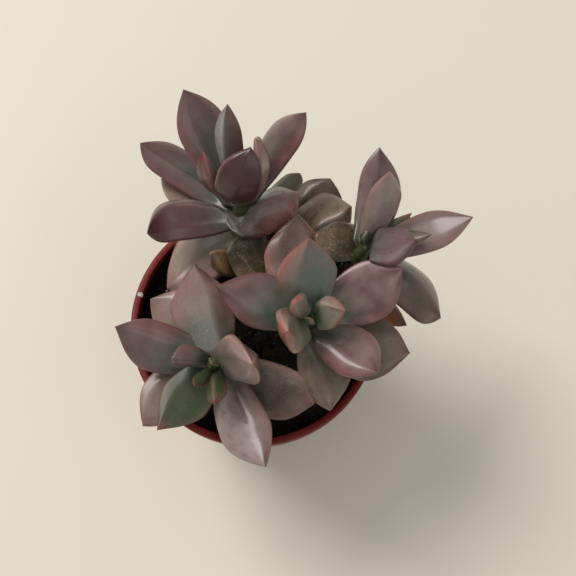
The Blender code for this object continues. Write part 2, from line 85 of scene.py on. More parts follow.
class Paint:
    """Wires up the nodes of one procedural material around a Principled BSDF."""

    def __init__(self, name: str) -> None:
        """Starts the material.

        Args:
            name: the material's name.
        """
        self.material = bpy.data.materials.new(name)
        self.material.use_nodes = True
        self.tree = self.material.node_tree
        self.shader = self.tree.nodes["Principled BSDF"]

    def _plug(self, socket: bpy.types.NodeSocket, value: object) -> None:
        """Links an output to the socket, or sets the socket to a plain value."""
        if isinstance(value, bpy.types.NodeSocket):
            self.tree.links.new(value, socket)
        elif isinstance(value, tuple) and len(value) == 3 and len(socket.default_value) == 4:
            socket.default_value = (*value, 1)
        else:
            socket.default_value = value

    def attribute(self, name: str, output: str = "Fac") -> bpy.types.NodeSocket:
        """The named attribute of the mesh, as a number or as a Vector."""
        node = self.tree.nodes.new("ShaderNodeAttribute")
        node.attribute_name = name
        return node.outputs[output]

    def place(self) -> bpy.types.NodeSocket:
        """The point's place on the object."""
        return self.tree.nodes.new("ShaderNodeTexCoord").outputs["Object"]

    def maths(self, operation: str, a: object, b: object = 0.0, clamp: bool = False) -> bpy.types.NodeSocket:
        """One sum on two numbers.

        Args:
            operation: the Math node's operation.
            a: the first number or output.
            b: the second number or output.
            clamp: whether the result is kept from 0 to 1.

        Returns:
            The result's output.
        """
        node = self.tree.nodes.new("ShaderNodeMath")
        node.operation = operation
        node.use_clamp = clamp
        self._plug(node.inputs[0], a)
        self._plug(node.inputs[1], b)
        return node.outputs[0]

    def fade(self, value: object, low: float, high: float, to: float = 1.0) -> bpy.types.NodeSocket:
        """Rises softly from 0 where the value is low to `to` where it is high."""
        node = self.tree.nodes.new("ShaderNodeMapRange")
        node.interpolation_type = "SMOOTHSTEP"
        for name, given in (("Value", value), ("From Min", low), ("From Max", high), ("To Max", to)):
            self._plug(node.inputs[name], given)
        return node.outputs["Result"]

    def mix(self, share: object, first: object, second: object, blend: str = "MIX") -> bpy.types.NodeSocket:
        """Two colours mixed by a share.

        Args:
            share: how much of the second colour shows.
            first: the colour at a share of 0.
            second: the colour at a share of 1.
            blend: the Mix node's blend type.

        Returns:
            The mixed colour's output.
        """
        node = self.tree.nodes.new("ShaderNodeMix")
        node.data_type = "RGBA"
        node.blend_type = blend
        self._plug(node.inputs["Factor"], share)
        self._plug(node.inputs["A"], first)
        self._plug(node.inputs["B"], second)
        return node.outputs["Result"]

    def stretch(self, vector: object, scale: Colour) -> bpy.types.NodeSocket:
        """The vector with each of its axes scaled."""
        node = self.tree.nodes.new("ShaderNodeMapping")
        self._plug(node.inputs["Vector"], vector)
        node.inputs["Scale"].default_value = scale
        return node.outputs["Vector"]

    def noise(self, vector: object, scale: float, detail: float = 3.0, rough: float = 0.5) -> bpy.types.NodeSocket:
        """Cloudy noise from 0 to 1.

        Args:
            vector: where it is read.
            scale: clouds per unit of the vector.
            detail: how many finer layers it has.
            rough: how strong the finer layers are.

        Returns:
            The noise's output.
        """
        node = self.tree.nodes.new("ShaderNodeTexNoise")
        self._plug(node.inputs["Vector"], vector)
        node.inputs["Scale"].default_value = scale
        node.inputs["Detail"].default_value = detail
        node.inputs["Roughness"].default_value = rough
        return node.outputs["Fac"]

    def grains(self, vector: object, scale: float) -> bpy.types.NodeSocket:
        """The distance to the nearest of many scattered points."""
        node = self.tree.nodes.new("ShaderNodeTexVoronoi")
        self._plug(node.inputs["Vector"], vector)
        node.inputs["Scale"].default_value = scale
        return node.outputs["Distance"]

    def bump(self, height: object, depth: float, under: object = None) -> bpy.types.NodeSocket:
        """A fine relief of this depth in metres, over another relief if one is given."""
        node = self.tree.nodes.new("ShaderNodeBump")
        node.inputs["Strength"].default_value = 1.0
        node.inputs["Distance"].default_value = depth
        self._plug(node.inputs["Height"], height)
        if under is not None:
            self._plug(node.inputs["Normal"], under)
        return node.outputs["Normal"]

    def finish(self, **sockets: object) -> bpy.types.Material:
        """Sets or links the shader's sockets.

        Args:
            sockets: each socket's name, with _ for a space, and its value or output.

        Returns:
            The finished material.
        """
        for name, value in sockets.items():
            self._plug(self.shader.inputs[name.replace("_", " ")], value)
        return self.material


FOOT_GREEN_AND_PAINTED_SHADE = (0.20, 0.31, 0.12)  # how the foot's colour darkens and greens: its own deeper green at the base, and painted shade where the leaves crowd


@dataclass(frozen=True)
class LeafSkin:
    """The colours of a waxy leaf, from its foot to its tip, and how dusty and how speckled it is."""

    name: str
    foot: Colour
    body: Colour
    edge: Colour
    tip: Colour
    belly: Colour
    bloom: Colour = tone(162, 140, 132)
    bloom_share: float = 0.22
    dot: Colour = tone(52, 26, 24)
    speckle: float = 0.35
    edge_share: float = 0.50
    ripe_from: float = 0.25
    ripe_to: float = 0.85
    grit: float = 0.12
    roughness: float = 0.40
    coat: float = 0.50
    # The pale colour of a frosted facet: partly waxy bloom, partly a painted highlight where the facet faces the
    # light.
    frost_and_highlight: Colour = tone(140, 124, 120)
    # how far the foot is darkened: its own deeper green together with painted shade
    foot_shade: float = 0.88
    tip_from: float = 0.80

    def material(self) -> bpy.types.Material:
        """Builds the skin.

        Returns:
            A material that reads the attributes along, across, upper, ridge, blush, frost and lay.
        """
        paint = Paint(self.name)
        along = paint.attribute("along")
        upper = paint.attribute("upper")
        ridge = paint.attribute("ridge")
        lay = paint.attribute("lay", "Vector")
        edge = paint.maths("ABSOLUTE", paint.attribute("across"))
        drift = paint.noise(lay, 0.07, 2)
        clouds = paint.noise(lay, 0.35, 3, 0.5)
        streaks = paint.noise(paint.stretch(lay, (0.25, 2.0, 1.4)), 0.7, 3, 0.5)
        fine = paint.noise(lay, 3.0, 4, 0.6)

        ripening = paint.maths("ADD", along, paint.maths("MULTIPLY", paint.maths("POWER", edge, 2.5), 0.32))
        ripening = paint.maths("ADD", ripening, paint.maths("MULTIPLY", paint.maths("SUBTRACT", drift, 0.5), 0.6))
        colour = paint.mix(paint.fade(ripening, self.ripe_from, self.ripe_to), self.foot, self.body)
        # The underside takes the belly colour: partly its own deeper colour, partly painted shade on the side turned
        # from the light.
        colour = paint.mix(paint.fade(upper, 0.15, -0.45, 0.85), colour, self.belly)
        blush = paint.maths("MULTIPLY", paint.attribute("blush"), self.edge_share)
        # Painted highlight: the ridges take the pink edge colour, partly worn pink skin and partly a highlight painted
        # in.
        crest = paint.maths("MULTIPLY", ridge, 0.45)
        colour = paint.mix(paint.maths("MAXIMUM", blush, crest), colour, self.edge)
        reach = paint.maths("ADD", along, paint.maths("MULTIPLY", paint.maths("SUBTRACT", clouds, 0.5), 0.10))
        colour = paint.mix(paint.fade(reach, self.tip_from, 0.99, 0.8), colour, self.tip)
        # Painted shade: the foot darkens and greens towards the stem, partly its own colour and partly shade painted
        # where the leaves crowd.
        foot_green_and_painted_shade = tuple(part * share for part, share in zip(self.foot, FOOT_GREEN_AND_PAINTED_SHADE))
        colour = paint.mix(paint.fade(along, 0.58, 0.06, self.foot_shade), colour, foot_green_and_painted_shade)
        # Painted highlight: the facet on one side of the crest is lightened towards the frost colour, partly bloom and
        # partly light painted in.
        frost_and_highlight_mask = paint.maths("MULTIPLY", paint.attribute("frost_and_highlight"), paint.fade(clouds, 0.20, 0.50))
        colour = paint.mix(frost_and_highlight_mask, colour, self.frost_and_highlight)

        shade = paint.maths("ADD", paint.fade(streaks, 0.35, 0.75, 0.10), paint.fade(clouds, 0.62, 0.30, 0.08))
        colour = paint.mix(shade, colour, (0.022, 0.012, 0.010))
        dots = paint.fade(paint.grains(lay, 1.15), 0.26, 0.10)
        spots = paint.fade(paint.grains(lay, 0.42), 0.30, 0.16, self.speckle**2)
        dots = paint.maths("MAXIMUM", dots, spots)
        where = paint.fade(drift, 0.34, 0.54, self.speckle)
        colour = paint.mix(paint.maths("MULTIPLY", dots, where), colour, self.dot)

        rubbed = paint.fade(paint.noise(lay, 0.13, 3, 0.5), 0.30, 0.72)
        bloom_and_ridge_highlight = paint.maths("MULTIPLY", rubbed, paint.fade(upper, -0.6, 0.6, self.bloom_share))
        # Painted highlight: the ridges are also lightened towards the bloom colour, over the rubbed bloom of the upper
        # face.
        bloom_and_ridge_highlight = paint.maths("ADD", bloom_and_ridge_highlight, paint.maths("MULTIPLY", ridge, 0.14), True)
        colour = paint.mix(bloom_and_ridge_highlight, colour, self.bloom)
        grains = paint.fade(paint.noise(lay, 1.7, 3, 0.75), 0.54, 0.68)
        grains = paint.maths("MULTIPLY", grains, paint.fade(clouds, 0.36, 0.60, self.grit))
        colour = paint.mix(grains, colour, self.bloom)

        gloss = paint.maths("ADD", self.roughness, paint.maths("MULTIPLY", bloom_and_ridge_highlight, 0.35))
        gloss = paint.maths("ADD", gloss, paint.maths("MULTIPLY", paint.maths("SUBTRACT", fine, 0.5), 0.20))
        relief = paint.bump(fine, 0.018 * MM, paint.bump(clouds, 0.07 * MM))
        return paint.finish(
            Base_Color=colour,
            Roughness=gloss,
            Normal=relief,
            Subsurface_Weight=0.10,
            Subsurface_Radius=(1.0, 0.45, 0.3),
            Subsurface_Scale=1.4 * MM,
            Coat_Weight=self.coat,
            Coat_Roughness=0.19,
            Coat_IOR=1.5,
        )


class Skin(Enum):
    """The leaf skins of this plant."""

    MAUVE = LeafSkin(
        "mauve_skin", tone(74, 92, 78), tone(106, 75, 74), tone(126, 70, 72), tone(74, 32, 30), tone(88, 50, 52)
    )
    WINE = LeafSkin(
        "wine_skin", tone(60, 64, 42), tone(88, 48, 48), tone(122, 76, 78), tone(60, 24, 22), tone(70, 36, 36),
        bloom_share=0.10, ripe_from=0.0, ripe_to=0.5,
    )
    DUSK = LeafSkin(
        "dusk_skin", tone(112, 122, 112), tone(114, 108, 102), tone(104, 66, 60), tone(84, 40, 36), tone(92, 60, 54),
        edge_share=0.85, ripe_from=0.4, ripe_to=1.0, frost_and_highlight=tone(152, 153, 151), foot_shade=0.6,
    )
    CRIMSON = LeafSkin(
        "crimson_skin", tone(88, 92, 76), tone(104, 78, 70), tone(116, 68, 66), tone(118, 30, 38), tone(92, 60, 54)
    )
    ROSE = LeafSkin(
        "rose_skin", tone(68, 80, 60), tone(102, 66, 68), tone(134, 76, 78), tone(88, 36, 38), tone(90, 50, 52),
        speckle=0.5, ripe_from=0.1, ripe_to=0.6, bloom_share=0.42,
    )
    LILAC = LeafSkin(
        "lilac_skin", tone(98, 90, 88), tone(102, 72, 74), tone(112, 66, 72), tone(102, 58, 62), tone(84, 56, 56),
        bloom=tone(160, 148, 150), bloom_share=0.2, dot=tone(92, 34, 44), speckle=0.95, ripe_from=0.0, ripe_to=0.4,
        roughness=0.55, coat=0.05,
    )
    SAGE = LeafSkin(
        "sage_skin", tone(94, 114, 104), tone(116, 106, 96), tone(152, 82, 76), tone(132, 84, 76),
        tone(112, 84, 70), bloom_share=0.22, edge_share=0.75, ripe_from=0.35, ripe_to=0.95, foot_shade=0.45,
    )
    OLIVE = LeafSkin(
        "olive_skin", tone(56, 62, 38), tone(94, 82, 64), tone(118, 80, 70), tone(86, 46, 40), tone(74, 60, 46),
        grit=0.35, frost_and_highlight=tone(132, 126, 114),
    )
    MOSS = LeafSkin(
        "moss_skin", tone(44, 62, 24), tone(64, 70, 42), tone(122, 76, 66), tone(112, 54, 52), tone(56, 60, 32),
        bloom_share=0.08, edge_share=0.55, ripe_from=0.3, ripe_to=1.0, roughness=0.5, coat=0.15,
    )
    YOUNG = LeafSkin(
        "young_skin", tone(90, 106, 84), tone(128, 114, 98), tone(152, 90, 78), tone(160, 84, 74),
        tone(110, 98, 80), bloom=tone(186, 172, 160), bloom_share=0.34, speckle=0.1, ripe_from=0.1, ripe_to=0.7,
        foot_shade=0.5,
    )
    HEART = LeafSkin(
        "heart_skin", tone(40, 60, 30), tone(66, 78, 48), tone(104, 92, 70), tone(120, 84, 70),
        tone(58, 78, 46), bloom_share=0.08, speckle=0.0,
    )
    BRONZE = LeafSkin(
        "bronze_skin", tone(92, 80, 70), tone(110, 78, 70), tone(156, 96, 82), tone(80, 44, 36), tone(84, 54, 46),
        edge_share=0.75, speckle=0.7, grit=0.5, frost_and_highlight=tone(166, 146, 144),
    )
    UMBER = LeafSkin(
        "umber_skin", tone(74, 64, 44), tone(94, 76, 56), tone(122, 84, 64), tone(36, 20, 16), tone(70, 52, 38),
        bloom=tone(172, 148, 120), bloom_share=0.22, speckle=0.7, grit=0.9, foot_shade=0.85, tip_from=0.58,
        frost_and_highlight=tone(150, 128, 104),
    )
    ASH = LeafSkin(
        "ash_skin", tone(80, 80, 62), tone(118, 92, 88), tone(134, 86, 82), tone(98, 54, 50),
        tone(92, 66, 60), bloom_share=0.28, grit=0.5, ripe_from=0.1, ripe_to=0.6, frost_and_highlight=tone(164, 148, 146),
    )
    PALE = LeafSkin(
        "pale_skin", tone(104, 98, 78), tone(142, 118, 104), tone(150, 106, 92), tone(104, 60, 54),
        tone(104, 80, 70), bloom_share=0.3, speckle=0.5, grit=0.6,
    )
    HEATHER = LeafSkin(
        "heather_skin", tone(54, 62, 40), tone(128, 94, 86), tone(112, 66, 58), tone(92, 48, 42), tone(88, 60, 52),
        bloom_share=0.24, grit=0.4, roughness=0.52, coat=0.08,
    )
    PEARL = LeafSkin(
        "pearl_skin", tone(126, 112, 102), tone(142, 118, 112), tone(148, 98, 88), tone(146, 102, 92), tone(112, 84, 78),
        bloom=tone(176, 160, 154), bloom_share=0.3, grit=0.4, foot_shade=0.5, frost_and_highlight=tone(164, 150, 146),
    )
    DUN = LeafSkin(
        "dun_skin", tone(50, 44, 32), tone(108, 86, 76), tone(122, 84, 76), tone(104, 62, 56), tone(74, 60, 46),
        grit=0.5, ripe_from=0.4, ripe_to=1.05, roughness=0.5, coat=0.12,
    )
    FERN = LeafSkin(
        "fern_skin", tone(98, 104, 80), tone(124, 122, 98), tone(126, 120, 100), tone(118, 110, 88), tone(96, 98, 76),
        bloom_share=0.3, grit=0.4,
    )
    AMBER = LeafSkin(
        "amber_skin", tone(96, 74, 36), tone(122, 92, 54), tone(146, 108, 70), tone(72, 40, 24), tone(92, 66, 38),
        speckle=0.9, bloom_share=0.12, grit=0.4,
    )
    RUST = LeafSkin(
        "rust_skin", tone(92, 48, 20), tone(112, 58, 24), tone(124, 72, 36), tone(60, 32, 20), tone(92, 50, 22),
        speckle=0.7, bloom_share=0.0, grit=0.1, roughness=0.5, coat=0.08,
    )


@dataclass(frozen=True)
class StemSkin:
    """The skin of a fleshy stem: green at the top and brown and corky near the soil."""

    name: str = "stem_skin"
    green: Colour = tone(56, 66, 34)
    cork: Colour = tone(76, 60, 44)
    blush: Colour = tone(84, 68, 48)

    def material(self) -> bpy.types.Material:
        """Builds the skin."""
        paint = Paint(self.name)
        along = paint.attribute("along")
        lay = paint.attribute("lay", "Vector")
        clouds = paint.noise(lay, 0.4, 5, 0.6)
        rings = paint.noise(paint.stretch(lay, (2.4, 0.3, 0.3)), 1.0, 3)
        height = paint.maths("ADD", along, paint.maths("MULTIPLY", paint.maths("SUBTRACT", clouds, 0.5), 0.5))
        colour = paint.mix(paint.fade(height, 0.35, 0.75), self.cork, self.green)
        colour = paint.mix(paint.fade(clouds, 0.5, 0.75, 0.4), colour, self.blush)
        colour = paint.mix(paint.fade(rings, 0.55, 0.7, 0.35), colour, (0.04, 0.03, 0.02))
        relief = paint.bump(rings, 0.18 * MM, paint.bump(clouds, 0.2 * MM))
        return paint.finish(
            Base_Color=colour, Roughness=paint.fade(height, 0.9, 0.2, 0.75), Normal=relief, Subsurface_Weight=0.08,
            Subsurface_Scale=1.5 * MM,
        )


@dataclass(frozen=True)
class PotPlastic:
    """Thin moulded plastic of a terracotta red, scuffed and a little dusty, its inside wall darkened under the rim by
    soil stain and painted shade.
    """

    name: str = "terracotta_plastic_skin"
    red: Colour = tone(117, 36, 29)
    deep: Colour = tone(96, 24, 20)
    dust: Colour = tone(136, 72, 58)
    # the inside wall's near-black: soil stain together with painted shade
    soil_and_painted_shade: Colour = tone(26, 16, 13)

    def material(self) -> bpy.types.Material:
        """Builds the plastic."""
        paint = Paint(self.name)
        place = paint.place()
        clouds = paint.noise(place, 60, 4)
        fine = paint.noise(place, 900, 5, 0.65)
        scuffs = paint.noise(paint.stretch(place, (1, 1, 7)), 160, 5, 0.7)
        colour = paint.mix(paint.fade(clouds, 0.62, 0.36, 0.4), self.red, self.deep)
        worn = paint.fade(scuffs, 0.56, 0.72, 0.4)
        colour = paint.mix(worn, colour, self.dust)
        colour = paint.mix(paint.fade(fine, 0.62, 0.74, 0.35), colour, self.dust)
        # Painted shade: the inside wall darkens below the rim, partly soil stain and partly shade painted in.
        soil_stain_and_shade = paint.maths("ADD", paint.attribute("soil_stain_and_shade"), paint.maths("MULTIPLY", clouds, 0.5))
        colour = paint.mix(paint.fade(soil_stain_and_shade, 0.45, 0.85, 0.94), colour, self.soil_and_painted_shade)
        relief = paint.bump(fine, 0.06 * MM, paint.bump(scuffs, 0.1 * MM))
        return paint.finish(
            Base_Color=colour, Roughness=paint.maths("ADD", 0.48, paint.maths("MULTIPLY", worn, 0.6)), Normal=relief,
            Subsurface_Weight=0.05, Subsurface_Scale=1.0 * MM, Specular_IOR_Level=0.3,
        )


@dataclass(frozen=True)
class SoilMix:
    """Potting soil, nearly black, its own dark colour deepened by painted shade, with brown fibres and pale flecks."""

    name: str = "potting_soil"
    # near-black: the soil's own dark colour deepened as painted shade
    dark: Colour = tone(14, 10, 8)
    brown: Colour = tone(40, 29, 21)
    fleck: Colour = tone(150, 140, 118)
    flecks: float = 0.5

    def material(self) -> bpy.types.Material:
        """Builds the soil."""
        paint = Paint(self.name)
        place = paint.place()
        clouds = paint.noise(place, 240, 5, 0.65)
        fibres = paint.noise(paint.stretch(place, (1, 5, 2)), 500, 4, 0.6)
        colour = paint.mix(paint.fade(clouds, 0.40, 0.68), self.dark, self.brown)
        colour = paint.mix(paint.fade(fibres, 0.60, 0.72, 0.5), colour, self.brown)
        dots = paint.fade(paint.grains(place, 520), 0.16, 0.07, self.flecks)
        colour = paint.mix(dots, colour, self.fleck)
        relief = paint.bump(clouds, 0.8 * MM, paint.bump(fibres, 0.3 * MM))
        return paint.finish(Base_Color=colour, Roughness=0.92, Normal=relief, Specular_IOR_Level=0.3)


@dataclass(frozen=True)
class Mineral:
    """A rough crumb of one mineral, such as perlite or moss-green grit."""

    name: str
    light: Colour
    dark: Colour
    roughness: float = 0.85

    def material(self) -> bpy.types.Material:
        """Builds the crumb's surface."""
        paint = Paint(self.name)
        place = paint.place()
        pits = paint.noise(place, 1400, 5, 0.7)
        colour = paint.mix(paint.fade(pits, 0.35, 0.62), self.dark, self.light)
        return paint.finish(Base_Color=colour, Roughness=self.roughness, Normal=paint.bump(pits, 0.25 * MM))


# ---------------------------------------------------------------- shapes


class Mould:
    """A ball of rings and sides, closed at both ends, that is pressed into a long closed shape."""

    def __init__(self, sides: int, rings: int) -> None:
        """Makes the ball.

        Args:
            sides: faces around it.
            rings: faces from end to end.
        """
        self.work = bmesh.new()
        bmesh.ops.create_uvsphere(self.work, u_segments=sides, v_segments=rings, radius=1)
        self.spots = [((1 + v.co.z) / 2, math.atan2(v.co.y, v.co.x)) for v in self.work.verts]

    def press(self, shape) -> None:
        """Moves each point to where the shape has it.

        Args:
            shape: a function of (share of the way from end to end, turn around) that gives a point.
        """
        for vertex, (share, turn) in zip(self.work.verts, self.spots):
            vertex.co = shape(share, turn)
        self.work.normal_update()

    def roughen(self, depth: float, per_metre: float, seed: float) -> None:
        """Moves each point in or out along its normal by smooth noise."""
        outwards = [vertex.normal.copy() for vertex in self.work.verts]
        for vertex, outward in zip(self.work.verts, outwards):
            lump = noise.noise(vertex.co * per_metre + Vector((seed, seed * 0.7, -seed)))
            vertex.co += outward * (depth * lump)
        self.work.normal_update()

    def mesh(self, name: str) -> bpy.types.Mesh:
        """Ends the work and gives the mesh, shaded smooth."""
        mesh = bpy.data.meshes.new(name)
        self.work.to_mesh(mesh)
        self.work.free()
        mesh.shade_smooth()
        return mesh


def add_piece(name: str, mesh: bpy.types.Mesh, finish: bpy.types.Material, slot: str, *nodes: str) -> bpy.types.Object:
    """Adds a finished piece to the scene.

    Args:
        name: the piece's name.
        mesh: its mesh, already in place.
        finish: its material.
        slot: the name of a material slot; not used.
        nodes: the CAD nodes that it stands for.

    Returns:
        The piece.
    """
    piece = bpy.data.objects.new(name, mesh)
    bpy.context.scene.collection.objects.link(piece)
    mesh.materials.clear()
    mesh.materials.append(finish)
    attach(piece, BODY)
    if nodes:
        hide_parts(*nodes)
    log.info("%s: %d faces", name, len(mesh.polygons))
    return piece


def write_attribute(mesh: bpy.types.Mesh, name: str, kind: str, values: Sequence) -> None:
    """Stores one value or vector for each point of the mesh."""
    attribute = mesh.attributes.new(name, kind, "POINT")
    if kind == "FLOAT_VECTOR":
        attribute.data.foreach_set("vector", [c for value in values for c in value])
    else:
        attribute.data.foreach_set("value", values)


# ---------------------------------------------------------------- the plant


@dataclass(frozen=True)
class Leaf:
    """A leaf whose chord runs from its seat on the stem to its tip. Angles in degrees, sizes in millimetres.

    Seen from above with the tip ahead, left is the side that the sway, the hook and a crest at -1 to 1 count
    from. Bow, sway and hook are shares of the length, folds, channel and crest are shares of the thickness.
    """

    name: str
    azimuth: float
    rise: float
    length: float
    width: float
    skin: Skin = Skin.MAUVE
    slot: str = "mauve_leaf"
    bow: float = 0.07
    sway: float = 0.0
    hook: float = 0.0
    around: float | None = None
    seat: float | None = None
    reach: float = 0.6
    depth: float = 0.34
    waist: float = 0.60
    foot: float = 0.38
    taper: float = 1.9
    blunt: float = 0.62
    left_fold: float = 0.2
    right_fold: float = 0.2
    channel: float = 0.08
    crest: float = 0.0
    crest_at: float = 0.0
    crest_soft: float = 0.16
    roll: float = 0.0
    keel: float = 0.5
    left_blush: float = 0.45
    right_blush: float = 0.45
    # How much one facet is frosted and lit: partly bloom, partly a painted highlight.
    frost_and_highlight: float = 0.0

    def half_width(self, s: float) -> float:
        """Half the width at s along the leaf: a narrower foot, the waist and a tip that comes to a point."""
        if s < self.waist:
            share = self.foot + (1 - self.foot) * math.sin(math.pi / 2 * s / self.waist)
        else:
            share = (1 - ((s - self.waist) / (1 - self.waist)) ** self.taper) ** 1.08
        return self.width / 2 * share * min(1.0, (s + 0.002) * 12) ** 0.5

    def thickness(self, s: float) -> float:
        """The thickness at s along the leaf."""
        waist = 0.42
        if s < waist:
            share = 0.62 + 0.38 * math.sin(math.pi / 2 * s / waist)
        else:
            share = (1 - ((s - waist) / (1 - waist)) ** 2.2) ** self.blunt
        return self.width * self.depth * share * min(1.0, (s + 0.002) * 12) ** 0.5

    def crest_share(self, s: float, across: float) -> float:
        """How high the crest of the upper face stands at a place, from 0 to 1."""
        slope = math.hypot((across - self.crest_at) / 0.9, self.crest_soft) - self.crest_soft
        return max(0.0, 1 - slope) * smooth(0.0, 0.45, s)

    def skin_point(self, s: float, turn: float) -> Vector:
        """A point of the leaf's skin. X runs to the tip and Z up out of the upper face, in millimetres."""
        across = math.copysign(abs(math.cos(turn)) ** 0.88, math.cos(turn))
        up = math.sin(turn)
        thick = self.thickness(s)
        fold = self.left_fold if across > 0 else self.right_fold
        drop = thick * fold * smooth(0.40, 1.0, abs(across)) * smooth(0.02, 0.35, s)
        if up >= 0:
            height = thick * (0.26 * up ** 0.6 - self.channel * up ** 3 * (1 - s) ** 0.5)
            height += thick * self.crest * self.crest_share(s, across) * up ** 0.5 - drop
        else:
            keel = 0.10 + self.keel * s
            belly = (1 - keel) * abs(up) ** 0.8 + keel * (1 - abs(across))
            height = -thick * 0.74 * belly - drop * abs(across) ** 3
        arch = self.length * 4 * s * (1 - s)
        side = self.half_width(s) * across
        angle = math.radians(self.roll)
        side, height = (
            side * math.cos(angle) - height * math.sin(angle),
            side * math.sin(angle) + height * math.cos(angle),
        )
        stray = self.sway * arch + self.hook * self.length * (s ** 4 - s)
        return Vector((self.length * s, side + stray, height - self.bow * arch))

    def ridge_wear_and_highlight_share(self, s: float, turn: float) -> float:
        """How near a point is to a ridge of the upper face, from 0 to 1, where the skin is painted pink and pale: worn
        skin together with a painted highlight.
        """
        across, up = math.cos(turn), math.sin(turn)
        if up < 0:
            return 0.0
        fold = self.left_fold if across > 0 else self.right_fold
        near_fold = math.exp(-(((abs(across) - 0.60) / 0.10) ** 2)) * smooth(0.25, 0.7, fold)
        near_crest = math.exp(-(((across - self.crest_at) / 0.12) ** 2)) * smooth(0.1, 0.5, self.crest)
        return max(near_fold, near_crest) * smooth(0.2, 0.55, s)

    def blush_share(self, s: float, turn: float) -> float:
        """How far the pink of a margin reaches in at a point, from 0 to 1."""
        across = math.cos(turn)
        band = self.left_blush if across > 0 else self.right_blush
        return smooth(1 - band, 1 - 0.15 * band, abs(across)) * smooth(0.0, 0.6, s)

    def frost_and_highlight_share(self, s: float, turn: float) -> float:
        """How frosted and lit a point is, pale bloom with a painted highlight: the left of the crest if frost is over
        0, the right of it if under.
        """
        across, up = math.cos(turn), math.sin(turn)
        beyond = (across - self.crest_at) * math.copysign(1, self.frost_and_highlight)
        return abs(self.frost_and_highlight) * smooth(-0.06, 0.10, beyond) * smooth(-0.4, 0.1, up) * smooth(0.05, 0.35, s)

    def build(self, sprout: "Sprout", index: int) -> bpy.types.Object:
        """Moulds the leaf, seats it on its stem and colours it.

        Args:
            sprout: the stem that it grows on.
            index: its place among the stem's leaves, from the youngest.

        Returns:
            The leaf.
        """
        seat = sprout.leaf_frame(self, index)
        small = self.width < 9
        mould = Mould(28 if small else 48, 24 if small else 44)
        spots = mould.spots
        seed = sprout.seed * 7.3 + index * 1.9
        mould.press(lambda s, turn: seat @ (self.skin_point(s, turn) * MM))
        mould.roughen(0.012 * self.width * MM, 130, seed)
        mesh = mould.mesh(f"{sprout.name}_{self.name}")
        turns = [(s, math.cos(turn), math.sin(turn)) for s, turn in spots]
        write_attribute(mesh, "along", "FLOAT", [s for s, _, _ in turns])
        write_attribute(mesh, "across", "FLOAT", [across for _, across, _ in turns])
        write_attribute(mesh, "upper", "FLOAT", [up for _, _, up in turns])
        write_attribute(mesh, "ridge", "FLOAT", [self.ridge_wear_and_highlight_share(s, turn) for s, turn in spots])
        write_attribute(mesh, "blush", "FLOAT", [self.blush_share(s, turn) for s, turn in spots])
        write_attribute(mesh, "frost_and_highlight", "FLOAT", [self.frost_and_highlight_share(s, turn) for s, turn in spots])
        offset = seed * 11.7
        lay = [(s * self.length + offset, a * self.width / 2, u * 3 + offset) for s, a, u in turns]
        write_attribute(mesh, "lay", "FLOAT_VECTOR", lay)
        node = f"{sprout.name}_leaf_{self.name}"
        return add_piece(f"{node}_skin", mesh, sprout.finishes[self.skin], self.slot, node)


